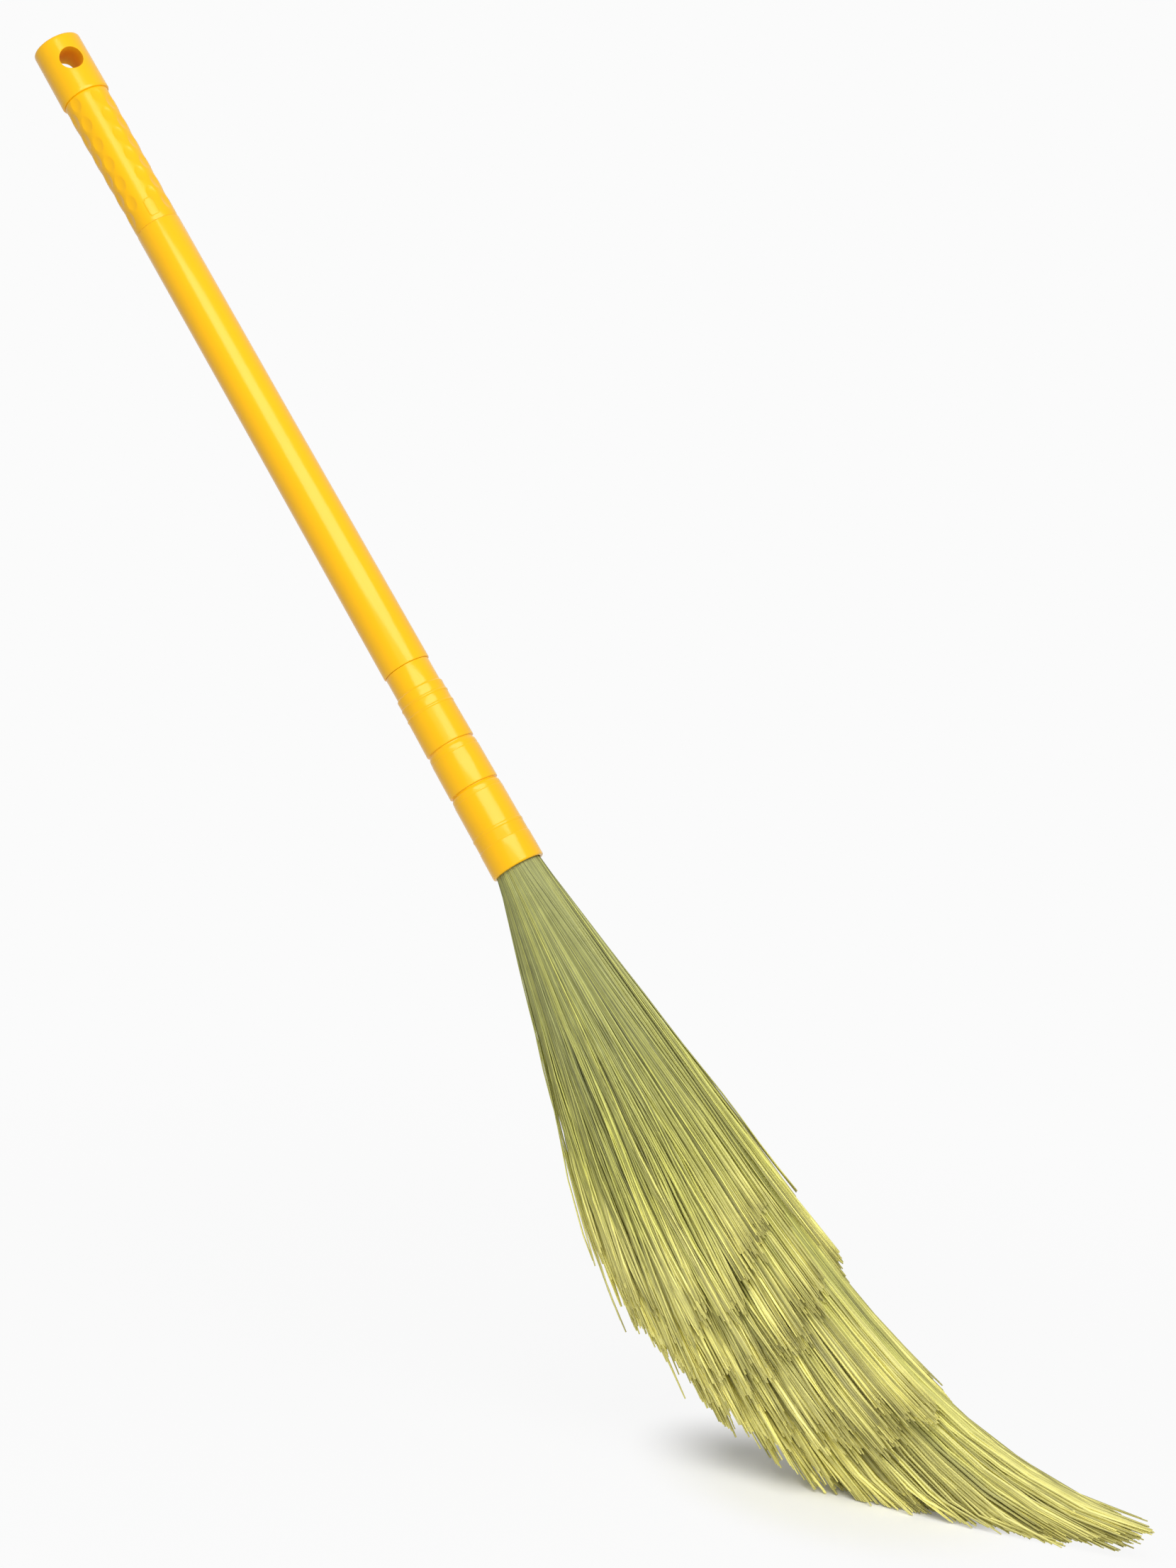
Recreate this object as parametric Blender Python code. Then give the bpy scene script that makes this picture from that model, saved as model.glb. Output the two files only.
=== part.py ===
"""Plastic floor broom, held upright on its toe and leaning back: a hollow yellow handle in four plugged
sections, with a bound bundle of grass-like plastic bristles fanned out below its stepped ferrule.

Units are metres, +Z is up and the floor is z = 0. The handle and the middle of the fan lie in the XZ plane.
The handle leans towards -X, and the bristles are swept towards +X. Every piece is laid out from the centre
of the ferrule's mouth, and the whole broom is then stood on its lowest bristle.
"""

import math
import random

import bmesh
import bpy
import numpy as np
from mathutils import Matrix, Vector

# Pose of the broom
handle_lean = math.radians(35.4)
mouth_height = 0.337

# Gap that pieces keep where they seat on each other, and how far a cut runs past a wall
seat_gap = 0.0003
cut_overrun = 0.004
round_sides = 36

# Bundle of bristles inside the ferrule
bundle_diameter = 0.0250
bundle_depth = 0.0720
root_depth = 0.0050
band_thickness = 0.0005
band_width = 0.0060
band_count = 3
band_first_share = 0.30
band_last_share = 0.92

# Ferrule, from the mouth up: mouth band, ring band, three cups, neck and spigot
mouth_bore_flare = 0.0008
mouth_lip_wall = 0.00205
mouth_edge_round = 0.0008
mouth_band_length = 0.0176
mouth_band_taper = 0.0002
ring_band_length = 0.0087
ring_band_step = 0.00025
lower_cup_length = 0.0278
lower_cup_diameters = (0.0321, 0.0315, 0.0297)
middle_cup_length = 0.0286
middle_cup_diameters = (0.0311, 0.0308, 0.0292)
upper_cup_length = 0.0387
upper_cup_diameters = (0.0305, 0.0296, 0.0293)
cup_shoulder_length = 0.0045
cup_edge_slope = 0.0006
neck_length = 0.0146
neck_inset = 0.0008
ferrule_spigot_length = 0.0300
spigot_wall = 0.0016
ledge_reach = 0.0030
ledge_thickness = 0.0030
bead_height = 0.00025
bead_width = 0.0014
bead_place_shares = (0.623, 0.801)

# Tube
tube_length = 0.3130
tube_bottom_diameter = 0.0297
tube_waist_diameter = 0.02845
tube_top_diameter = 0.0280
tube_waist_share = 0.521
tube_wall = 0.0016
tube_end_round = 0.0004

# Grip with its dimples
grip_neck_length = 0.0022
grip_neck_diameter = 0.0275
grip_length = 0.0910
grip_bottom_diameter = 0.0278
grip_top_diameter = 0.0290
grip_end_round = 0.0006
grip_lower_spigot_length = 0.0300
grip_upper_spigot_length = 0.0125
dimple_bottom_margin = 0.0041
dimple_top_margin = 0.0011
dimple_depth = 0.0006
dimple_border = 0.0008
dimple_rows = 12
dimples_round = 6
facets_per_dimple = 2
grip_front_turn = math.radians(-55.6)
smooth_half_turn = math.radians(25)

# Hanging cap
cap_length = 0.0397
cap_bottom_diameter = 0.0310
cap_top_diameter = 0.0304
cap_wall = 0.0018
cap_roof = 0.0025
cap_edge_round = 0.0018
cap_rim_round = 0.0008
hang_hole_diameter = 0.0145
hang_hole_drop = 0.0147
hang_hole_turn = math.radians(-36.5)
hang_hole_slope = math.radians(10)
hole_sides = 24

# Fan of bristles: u runs across it from the heel (-1) to the toe (1), and v through it from front to back
fan_columns = 6
fan_layers = ("front_outer", "front_inner", "core", "back_inner", "back_outer")
pairs_in_tuft = 5
pairs_in_core_tuft = 6
bundle_fill_share = 0.93
bundle_side_share = 0.88
bundle_corner_share = 0.14
corner_stretch_share = 0.55
heel_spread = math.radians(-17.5)
toe_spread = math.radians(7.0)
heel_bend = math.radians(14.0)
toe_bend = math.radians(35.0)
bend_power = 2.8
layer_flare = math.radians(1.0)
fan_half_thickness = 0.044
edge_thinning_share = 0.5
toe_length = 0.545
tier_start_shares = (0.80, 0.56, 0.20, 0.0)
heel_tier_lengths = (0.232, 0.262, 0.265, 0.265)
middle_tier_lengths = (0.285, 0.325, 0.385, 0.430)
toe_tier_lengths = (0.247, 0.300, 0.400, toe_length)
length_scatter_share = 0.035
station_distances = (0.0, 0.055, 0.155, 0.275, 0.415, 0.600)
strand_width_shares = (1.0, 0.70, 0.66, 0.60, 0.54, 0.48)
end_width_share = 0.5
path_steps = 24

# Sizes that follow from the ones above
bundle_radius = bundle_diameter / 2
ferrule_bore_radius = bundle_radius + band_thickness + 2 * seat_gap
mouth_bore_radius = ferrule_bore_radius + mouth_bore_flare
mouth_radius = mouth_bore_radius + mouth_lip_wall
ferrule_body_length = (
    mouth_band_length + ring_band_length + lower_cup_length + middle_cup_length + upper_cup_length
)
tube_start = ferrule_body_length + neck_length
tube_end = tube_start + tube_length
grip_start = tube_end + grip_neck_length
grip_end = grip_start + grip_length
dimple_row_height = (grip_length - dimple_bottom_margin - dimple_top_margin) / dimple_rows
cap_start = grip_end + seat_gap
cap_end = cap_start + cap_length
cap_bore_radius = cap_top_diameter / 2 - cap_wall


# Scene, materials and small helpers
def clear_scene():
    """Remove whatever the file opened with."""
    for thing in list(bpy.data.objects):
        bpy.data.objects.remove(thing, do_unlink=True)


def make_material(name, colour, roughness, metallic=0.0):
    """A plain Principled BSDF in the piece's own colour."""
    material = bpy.data.materials.new(name)
    material.use_nodes = True
    shader = material.node_tree.nodes["Principled BSDF"]
    shader.inputs["Base Color"].default_value = (*colour, 1.0)
    shader.inputs["Roughness"].default_value = roughness
    shader.inputs["Metallic"].default_value = metallic
    return material


def make_object(name, bm, parent, colour, roughness, metallic=0.0):
    """Turn a closed bmesh into a named object under its parent."""
    bmesh.ops.recalc_face_normals(bm, faces=bm.faces)
    mesh = bpy.data.meshes.new(name)
    bm.to_mesh(mesh)
    bm.free()
    mesh.shade_smooth()
    mesh.set_sharp_from_angle(angle=math.radians(32))
    thing = bpy.data.objects.new(name, mesh)
    thing.data.materials.append(make_material(name, colour, roughness, metallic))
    bpy.context.collection.objects.link(thing)
    thing.parent = parent
    return thing


def make_empty(name, parent=None):
    """An empty that carries pieces."""
    empty = bpy.data.objects.new(name, None)
    bpy.context.collection.objects.link(empty)
    empty.parent = parent
    return empty


def turn(outline, sides=round_sides, closed=True):
    """Spin an outline of (radius, height) points about the handle's axis."""
    bm = bmesh.new()
    points = [bm.verts.new((radius, 0.0, height)) for radius, height in outline]
    runs = list(zip(points, points[1:]))
    if closed:
        runs.append((points[-1], points[0]))
    edges = [bm.edges.new(run) for run in runs]
    bmesh.ops.spin(
        bm,
        geom=points + edges,
        axis=(0.0, 0.0, 1.0),
        cent=(0.0, 0.0, 0.0),
        angle=2 * math.pi,
        steps=sides,
        use_merge=True,
        use_duplicate=False,
    )
    bmesh.ops.remove_doubles(bm, verts=bm.verts, dist=seat_gap / 100)
    return bm


def arc(centre_radius, centre_height, size, start, stop, steps=3):
    """Points of a quarter round between two angles given in degrees."""
    angles = [math.radians(start + (stop - start) * i / steps) for i in range(steps + 1)]
    return [
        (centre_radius + size * math.cos(angle), centre_height + size * math.sin(angle)) for angle in angles
    ]


# Ferrule: a stepped sleeve whose cups flare towards the mouth, with a ledge inside that stops the bundle
def ferrule_outer_outline():
    """Outside of the ferrule, from the mouth up to the top of its spigot."""
    neck_radius = tube_bottom_diameter / 2 - neck_inset
    band_top_radius = mouth_radius - mouth_band_taper
    ring_radius = band_top_radius - ring_band_step
    outline = arc(mouth_radius - mouth_edge_round, mouth_edge_round, mouth_edge_round, -90, 0)
    height = mouth_band_length
    outline += [(band_top_radius, height - cup_edge_slope), (ring_radius, height)]
    height += ring_band_length
    outline += [(ring_radius, height - cup_edge_slope)]
    cups = (
        (lower_cup_length, lower_cup_diameters, ()),
        (middle_cup_length, middle_cup_diameters, ()),
        (upper_cup_length, upper_cup_diameters, bead_place_shares),
    )
    for length, diameters, bead_shares in cups:
        bottom_radius, shoulder_radius, top_radius = (diameter / 2 for diameter in diameters)
        outline += [(bottom_radius, height)]
        for share in bead_shares:
            middle = height + share * length
            radius = bottom_radius + share * (shoulder_radius - bottom_radius)
            outline += [
                (radius, middle - bead_width / 2),
                (radius + bead_height, middle),
                (radius, middle + bead_width / 2),
            ]
        height += length
        outline += [(shoulder_radius, height - cup_shoulder_length), (top_radius, height - cup_edge_slope)]
    spigot_radius = tube_bottom_diameter / 2 - tube_wall - seat_gap
    outline += [(neck_radius, height)]
    height = tube_start - seat_gap
    outline += [(neck_radius, height), (spigot_radius, height)]
    height = tube_start + ferrule_spigot_length
    outline += [(spigot_radius, height - mouth_edge_round), (spigot_radius - mouth_edge_round, height)]
    return outline


def ferrule_inner_outline():
    """Inside of the ferrule, from the top of its spigot down to the mouth."""
    spigot_bore = tube_bottom_diameter / 2 - tube_wall - seat_gap - spigot_wall
    ledge_radius = ferrule_bore_radius - ledge_reach
    ledge_height = bundle_depth + seat_gap
    return [
        (spigot_bore, tube_start + ferrule_spigot_length),
        (spigot_bore, ledge_height + ledge_thickness + ledge_reach),
        (ledge_radius, ledge_height + ledge_thickness),
        (ledge_radius, ledge_height),
        (ferrule_bore_radius, ledge_height),
        (ferrule_bore_radius, 2 * root_depth),
        (mouth_bore_radius, root_depth),
        (mouth_bore_radius, 0.0),
    ]


def build_ferrule(handle):
    bm = turn(ferrule_outer_outline() + ferrule_inner_outline())
    return make_object("ferrule", bm, handle, (0.93, 0.56, 0.0), 0.35)


# Binding bands: flat steel straps that hold the bundle together inside the ferrule
def build_bands(handle):
    bands = []
    lowest = bundle_depth * band_first_share
    rise = bundle_depth * (band_last_share - band_first_share)
    for index in range(band_count):
        middle = lowest + rise * index / (band_count - 1)
        inner = bundle_radius + seat_gap
        outer = inner + band_thickness
        bottom = middle - band_width / 2
        top = middle + band_width / 2
        bm = turn([(outer, top), (outer, bottom), (inner, bottom), (inner, top)])
        name = f"binding_band_{index + 1}"
        bands.append(make_object(name, bm, handle, (0.55, 0.56, 0.58), 0.3, 1.0))
    return bands


# Tube: a thin hollow tube, a little wider towards the ferrule
def build_tube(handle):
    waist = tube_start + tube_waist_share * tube_length
    stations = (
        (tube_bottom_diameter / 2, tube_start),
        (tube_waist_diameter / 2, waist),
        (tube_top_diameter / 2, tube_end),
    )
    outer = [(stations[0][0] - tube_end_round, tube_start), (stations[0][0], tube_start + tube_end_round)]
    outer += [stations[1]]
    outer += [(stations[2][0], tube_end - tube_end_round), (stations[2][0] - tube_end_round, tube_end)]
    inner = [(radius - tube_wall, height) for radius, height in reversed(stations)]
    bm = turn(outer + inner)
    return make_object("handle_tube", bm, handle, (0.93, 0.60, 0.0), 0.32)


# Grip: a sleeve with rows of shallow staggered dimples, and a spigot at each end
def grip_outline():
    """Closed outline of the grip, with one height for each edge of a row of dimples."""
    lower_spigot = tube_top_diameter / 2 - tube_wall - seat_gap
    upper_spigot = cap_bore_radius - seat_gap
    bore = lower_spigot - spigot_wall
    bottom = tube_end - grip_lower_spigot_length
    top = grip_end + grip_upper_spigot_length
    outline = [(lower_spigot, bottom), (lower_spigot, tube_end + seat_gap)]
    outline += [(grip_neck_diameter / 2, tube_end + seat_gap), (grip_neck_diameter / 2, grip_start)]
    for row in range(dimple_rows + 1):
        share = row / dimple_rows
        height = grip_start + dimple_bottom_margin + share * dimple_rows * dimple_row_height
        radius = (grip_bottom_diameter + share * (grip_top_diameter - grip_bottom_diameter)) / 2
        outline += [(radius, height)]
    outline += [(grip_top_diameter / 2, grip_end - grip_end_round)]
    outline += [(grip_top_diameter / 2 - grip_end_round, grip_end)]
    outline += [(upper_spigot, grip_end), (upper_spigot, top), (bore, top), (bore, bottom)]
    return outline


def press_dimples(bm):
    """Sink pairs of facets, staggered from row to row, but for a smooth strip along the front and the back."""
    columns = dimples_round * facets_per_dimple * 2
    islands = {}
    for face in bm.faces:
        middle = face.calc_center_median()
        reach = math.hypot(middle.x, middle.y)
        row = math.floor((middle.z - grip_start - dimple_bottom_margin) / dimple_row_height)
        if reach < grip_neck_diameter / 2 - dimple_border or not 0 <= row < dimple_rows:
            continue
        column = math.floor(math.atan2(middle.y, middle.x) / (2 * math.pi) * columns) % columns
        group, place = divmod(column + facets_per_dimple * (row % 2), 2 * facets_per_dimple)
        if place < facets_per_dimple:
            islands.setdefault((row, group % dimples_round), []).append(face)
    half_pitch = math.pi / dimples_round / 2
    for faces in islands.values():
        middle = sum((face.calc_center_median() for face in faces), Vector())
        turn_from = math.atan2(middle.y, middle.x) - half_pitch
        if abs(math.sin(turn_from)) < math.sin(smooth_half_turn):
            continue
        bmesh.ops.inset_region(
            bm,
            faces=faces,
            thickness=dimple_border,
            depth=-dimple_depth,
            use_boundary=True,
            use_even_offset=True,
        )


def build_grip(handle):
    bm = turn(grip_outline(), sides=dimples_round * facets_per_dimple * 2)
    bmesh.ops.recalc_face_normals(bm, faces=bm.faces)
    press_dimples(bm)
    front = Matrix.Rotation(grip_front_turn - math.pi / dimples_round / 2, 3, "Z")
    bmesh.ops.rotate(bm, verts=bm.verts, matrix=front)
    return make_object("grip_sleeve", bm, handle, (0.92, 0.57, 0.0), 0.38)


# Hanging cap: a deep cap over the grip's upper spigot, with a hole right through for a hook
def build_cap(handle):
    bottom_radius = cap_bottom_diameter / 2
    top_radius = cap_top_diameter / 2
    outline = [(cap_bore_radius, cap_start), (bottom_radius - cap_rim_round, cap_start)]
    outline += [(bottom_radius, cap_start + cap_rim_round)]
    outline += arc(top_radius - cap_edge_round, cap_end - cap_edge_round, cap_edge_round, 0, 90)
    outline += [(0.0, cap_end)]
    inside = [(0.0, cap_end - cap_roof), (cap_bore_radius, cap_end - cap_roof)]
    bm = turn(outline, closed=False)
    lower = turn(inside + [outline[0]], closed=False)
    joined = bpy.data.meshes.new("cap_inside")
    lower.to_mesh(joined)
    lower.free()
    bm.from_mesh(joined)
    bpy.data.meshes.remove(joined)
    bmesh.ops.remove_doubles(bm, verts=bm.verts, dist=seat_gap / 100)
    cap = make_object("hang_cap", bm, handle, (0.93, 0.60, 0.0), 0.32)

    cutter_mesh = bpy.data.meshes.new("hang_hole_cutter")
    hole = bmesh.new()
    bmesh.ops.create_cone(
        hole,
        cap_ends=True,
        segments=hole_sides,
        radius1=hang_hole_diameter / 2,
        radius2=hang_hole_diameter / 2,
        depth=cap_bottom_diameter + 2 * cut_overrun,
    )
    hole.to_mesh(cutter_mesh)
    hole.free()
    cutter = bpy.data.objects.new("hang_hole_cutter", cutter_mesh)
    bpy.context.collection.objects.link(cutter)
    cutter.parent = handle
    cutter.location = (0.0, 0.0, cap_end - hang_hole_drop)
    cutter.rotation_euler = (0.0, math.pi / 2 + hang_hole_slope, hang_hole_turn)
    cutter.hide_render = True
    cutter.display_type = "WIRE"

    cut = cap.modifiers.new("hang_hole", "BOOLEAN")
    cut.operation = "DIFFERENCE"
    cut.solver = "EXACT"
    cut.object = cutter
    return cap


# Bristles: the bundle is a grid of cells, and each cell's strands follow the flow of the fan
def bundle_place(u, v):
    """Where a point of the square grid lies in the round bundle."""
    across = bundle_radius * u * (bundle_side_share - bundle_corner_share * v * v)
    through = bundle_radius * v * (bundle_side_share - bundle_corner_share * u * u)
    return across, through


def fan_point(distance, u, v):
    """A point of the fan, from the mouth's centre, a distance along the strand that starts at (u, v)."""
    across, through = bundle_place(u, v)
    share = (u + 1) / 2
    start_angle = handle_lean + heel_spread + share * (toe_spread - heel_spread) + layer_flare * v * v * u
    bend = heel_bend + share * (toe_bend - heel_bend)
    step = distance / path_steps
    along = (np.arange(path_steps) + 0.5) * step / toe_length
    angles = start_angle + bend * along**bend_power
    thickening = fan_half_thickness * distance / toe_length * (1 - edge_thinning_share * u * u)
    swept = float(np.sin(angles).sum()) * step
    fallen = float(np.cos(angles).sum()) * step
    return Vector(
        (
            across * math.cos(handle_lean) - root_depth * math.sin(handle_lean) + swept,
            through + v * thickening,
            across * math.sin(handle_lean) + root_depth * math.cos(handle_lean) - fallen,
        )
    )


def strand_length(u, v, scatter):
    """Tiered length: outer layers are cut short, and the core's runs a little past the floor."""
    tier = next(i for i, start in enumerate(tier_start_shares) if abs(v) >= start)
    wanted = heel_tier_lengths[tier] * (u * u - u) / 2
    wanted += middle_tier_lengths[tier] * (1 - u * u)
    wanted += toe_tier_lengths[tier] * (u * u + u) / 2
    wanted *= 1 + length_scatter_share * scatter
    short, long = 0.0, wanted
    if fan_point(wanted, u, v).z < -mouth_height:
        for _ in range(20):
            halfway = (short + long) / 2
            if fan_point(halfway, u, v).z < -mouth_height:
                long = halfway
            else:
                short = halfway
        wanted = min(wanted, long + cut_overrun)
    return wanted


def split_sides(face, u_layer, v_layer):
    """Split a strand's new sides along the diagonals that the strands beside it take too."""
    for edge in face.edges:
        side = next(other for other in edge.link_faces if other != face)
        low_tip, high_tip = sorted(edge.verts, key=lambda vert: (vert[u_layer], vert[v_layer]))
        for vert in side.verts:
            if vert != low_tip and vert[u_layer] == low_tip[u_layer] and vert[v_layer] == low_tip[v_layer]:
                bmesh.utils.face_split(side, vert, high_tip)
                break


def grow_strands(bm, faces, layers, chance):
    """Draw each root face out along the fan, ring by ring, to a narrow tip."""
    u_layer, v_layer, length_layer = layers
    for face in faces:
        u = sum(vert[u_layer] for vert in face.verts) / len(face.verts)
        v = sum(vert[v_layer] for vert in face.verts) / len(face.verts)
        face[length_layer] = strand_length(u, v, chance.uniform(-1, 1))
    growing = faces
    for index in range(1, len(station_distances)):
        before, after = station_distances[index - 1], station_distances[index]
        growing = [face for face in growing if face[length_layer] > before]
        if not growing:
            break
        growing = bmesh.ops.extrude_discrete_faces(bm, faces=growing)["faces"]
        for face in growing:
            share = min(1.0, (face[length_layer] - before) / (after - before))
            width = strand_width_shares[index] * (end_width_share if share < 1.0 else 1.0)
            edges = []
            for vert in face.verts:
                u, v = vert[u_layer], vert[v_layer]
                edges.append(fan_point(before, u, v).lerp(fan_point(after, u, v), share))
            middle = sum(edges, Vector()) / len(edges)
            for vert, edge in zip(face.verts, edges):
                vert.co = middle + (edge - middle) * width
            split_sides(face, u_layer, v_layer)


def cut_at_floor(bm):
    """Cut the tips that meet the floor flat, as bristles trimmed to one level stand on it."""
    cut = bmesh.ops.bisect_plane(
        bm,
        geom=[*bm.verts, *bm.edges, *bm.faces],
        plane_co=(0.0, 0.0, -mouth_height),
        plane_no=(0.0, 0.0, -1.0),
        clear_outer=True,
    )
    edges = [item for item in cut["geom_cut"] if isinstance(item, bmesh.types.BMEdge)]
    if edges:
        bmesh.ops.edgeloop_fill(bm, edges=edges)


def build_tuft(name, fan, u_range, v_range, pairs, chance):
    """One slice of the bound bundle with its strands fused to it."""
    bm = bmesh.new()
    u_layer = bm.verts.layers.float.new("u")
    v_layer = bm.verts.layers.float.new("v")
    length_layer = bm.faces.layers.float.new("length")
    bmesh.ops.create_grid(bm, x_segments=pairs, y_segments=1, size=1.0)
    inset = seat_gap / 2 / (bundle_radius * corner_stretch_share)
    down = Vector((math.sin(handle_lean), 0.0, -math.cos(handle_lean)))
    for vert in bm.verts:
        u_share, v_share = (vert.co.x + 1) / 2, (vert.co.y + 1) / 2
        vert[u_layer] = u_range[0] + u_share * (u_range[1] - u_range[0])
        vert[v_layer] = v_range[0] + v_share * (v_range[1] - v_range[0])
        u_inset, v_inset = inset * (1 - 2 * u_share), inset * (1 - 2 * v_share)
        vert.co = fan_point(0.0, vert[u_layer] + u_inset, vert[v_layer] + v_inset)
    bmesh.ops.triangulate(bm, faces=bm.faces, quad_method="SHORT_EDGE")
    roots = list(bm.faces)
    top = bmesh.ops.extrude_face_region(bm, geom=roots, use_keep_orig=True)
    risen = [item for item in top["geom"] if isinstance(item, bmesh.types.BMVert)]
    bmesh.ops.translate(bm, verts=risen, vec=down * (root_depth - bundle_depth))
    grow_strands(bm, roots, (u_layer, v_layer, length_layer), chance)
    cut_at_floor(bm)
    colour = (0.44, 0.46, 0.10)
    return make_object(name, bm, fan, colour, 0.6)


def build_tufts(fan):
    """All slices of the bundle, layer by layer from front to back and column by column from heel to toe."""
    chance = random.Random(7)
    tufts = []
    layer_depth = 2 * bundle_fill_share / len(fan_layers)
    column_width = 2 * bundle_fill_share / fan_columns
    for layer, layer_name in enumerate(fan_layers):
        v_start = -bundle_fill_share + layer * layer_depth
        pairs = pairs_in_core_tuft if layer_name == "core" else pairs_in_tuft
        for column in range(fan_columns):
            u_start = -bundle_fill_share + column * column_width
            name = f"tuft_{layer_name}_{column + 1}"
            u_range = (u_start, u_start + column_width)
            v_range = (v_start, v_start + layer_depth)
            tufts.append(build_tuft(name, fan, u_range, v_range, pairs, chance))
    return tufts


def stand_on_floor(root, pieces):
    """Move the root empty so that the broom's box is centred on the origin and its lowest tip is at z = 0."""
    bpy.context.view_layer.update()
    corners = [piece.matrix_world @ vert.co for piece in pieces for vert in piece.data.vertices]
    lows = [min(corner[axis] for corner in corners) for axis in range(3)]
    highs = [max(corner[axis] for corner in corners) for axis in range(3)]
    root.location = (-(lows[0] + highs[0]) / 2, -(lows[1] + highs[1]) / 2, -lows[2])
    bpy.context.view_layer.update()


def build_broom():
    clear_scene()
    root = make_empty("mouth_centre")
    handle = make_empty("handle_axis", root)
    handle.rotation_euler = (0.0, -handle_lean, 0.0)
    pieces = [build_ferrule(handle), build_tube(handle), build_grip(handle), build_cap(handle)]
    pieces += build_bands(handle)
    pieces += build_tufts(root)
    stand_on_floor(root, pieces)
    print("mouth centre", tuple(round(value, 5) for value in root.location))


build_broom()
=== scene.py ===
"""Slim floor broom: a yellow plastic handle in four plugged sections over a swept fan of grass-like bristles.

The broom stands in the pose of a quick sweep, its handle leaning back towards -X and its bristle tips
spread on the floor towards +X. Lengths along the handle are measured from the centre of the ferrule's mouth.
"""

import math

import bmesh
import bpy
import numpy as np
from mathutils import Matrix, Vector


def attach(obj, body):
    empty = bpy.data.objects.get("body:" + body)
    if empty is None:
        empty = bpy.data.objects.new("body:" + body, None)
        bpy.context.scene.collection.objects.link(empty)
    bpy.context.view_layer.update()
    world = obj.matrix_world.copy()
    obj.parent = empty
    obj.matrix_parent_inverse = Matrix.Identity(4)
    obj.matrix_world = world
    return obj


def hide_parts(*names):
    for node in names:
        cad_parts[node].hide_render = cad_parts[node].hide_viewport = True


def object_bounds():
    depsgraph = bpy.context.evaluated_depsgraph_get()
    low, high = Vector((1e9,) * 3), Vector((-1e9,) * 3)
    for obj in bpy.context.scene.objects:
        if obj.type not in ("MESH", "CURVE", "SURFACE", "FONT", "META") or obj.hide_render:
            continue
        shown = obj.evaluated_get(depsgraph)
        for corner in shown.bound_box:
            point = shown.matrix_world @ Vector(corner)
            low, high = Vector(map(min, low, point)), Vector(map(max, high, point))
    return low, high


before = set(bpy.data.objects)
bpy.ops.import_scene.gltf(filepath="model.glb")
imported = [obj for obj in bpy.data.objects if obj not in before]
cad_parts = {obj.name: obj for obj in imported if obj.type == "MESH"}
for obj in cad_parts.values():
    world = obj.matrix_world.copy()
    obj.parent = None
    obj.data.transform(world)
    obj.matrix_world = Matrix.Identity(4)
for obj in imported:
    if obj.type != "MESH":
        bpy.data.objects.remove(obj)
cad_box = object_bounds()


# Ferrule: a stepped sleeve of injection-moulded yellow plastic. Its cups flare a little towards the mouth,
# the bound bristles are pushed up its bore against a ledge, and its spigot plugs into the tube above.
mouth_centre = Vector((-0.03042, 0.0, 0.337))
handle_lean = math.radians(35.4)
turned_sides = 144
weld_distance = 0.000003
mould_round = 0.0003
handle_yellow = (0.97, 0.50, 0.002)

# Radius and height of each step, up the outside from the mouth's lip and down the bore to it
ferrule_outside = [
    (0.01565, 0.00000), (0.01620, 0.00023), (0.01642, 0.00080), (0.01632, 0.01200),
    (0.01627, 0.01690), (0.01590, 0.01740), (0.01604, 0.01800), (0.01600, 0.02410),
    (0.01624, 0.02450), (0.01622, 0.02580), (0.01590, 0.02630), (0.01575, 0.04840),
    (0.01550, 0.04880), (0.01560, 0.04940), (0.01540, 0.05180), (0.01450, 0.05330),
    (0.01440, 0.05390), (0.01548, 0.05410), (0.01562, 0.05450), (0.01540, 0.07660),
    (0.01516, 0.07700), (0.01526, 0.07760), (0.01508, 0.08000), (0.01430, 0.08180),
    (0.01420, 0.08250), (0.01518, 0.08270), (0.01534, 0.08310), (0.01498, 0.10600),
    (0.01526, 0.10640), (0.01526, 0.10720), (0.01484, 0.10770), (0.01486, 0.11300),
    (0.01516, 0.11340), (0.01516, 0.11420), (0.01474, 0.11470), (0.01478, 0.11800),
    (0.01486, 0.12020), (0.01410, 0.12090), (0.01405, 0.12180), (0.01405, 0.13594),
    (0.01295, 0.13594), (0.01295, 0.16520), (0.01215, 0.16600),
]
ferrule_inside = [
    (0.01135, 0.16600), (0.01135, 0.07830), (0.01060, 0.07530), (0.01060, 0.07230),
    (0.01360, 0.07230), (0.01360, 0.01000), (0.01440, 0.00500), (0.01440, 0.00000),
]


def turn(outline, sides=turned_sides):
    """Spin a closed outline of (radius, height) points about the handle's axis."""
    bm = bmesh.new()
    points = [bm.verts.new((radius, 0.0, height)) for radius, height in outline]
    edges = [bm.edges.new(run) for run in zip(points, points[1:] + points[:1])]
    bmesh.ops.spin(
        bm,
        geom=points + edges,
        axis=(0.0, 0.0, 1.0),
        cent=(0.0, 0.0, 0.0),
        angle=2 * math.pi,
        steps=sides,
        use_merge=True,
        use_duplicate=False,
    )
    bmesh.ops.remove_doubles(bm, verts=bm.verts, dist=weld_distance)
    bmesh.ops.recalc_face_normals(bm, faces=bm.faces)
    return bm


def round_steps(bm, width=mould_round, least_angle=math.radians(16)):
    """Round every step and rim of a turned piece, as its mould does."""
    steps = [edge for edge in bm.edges if edge.is_manifold and edge.calc_face_angle() > least_angle]
    bmesh.ops.bevel(
        bm,
        geom=steps,
        offset=width,
        offset_type="OFFSET",
        segments=2,
        profile=0.5,
        affect="EDGES",
        clamp_overlap=True,
        material=-1,
    )


def stand_on_axis(bm):
    """Lay a piece that was turned about Z along the leaning axis of the handle."""
    lean = Matrix.Translation(mouth_centre) @ Matrix.Rotation(-handle_lean, 4, "Y")
    bmesh.ops.transform(bm, matrix=lean, verts=bm.verts)


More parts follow.
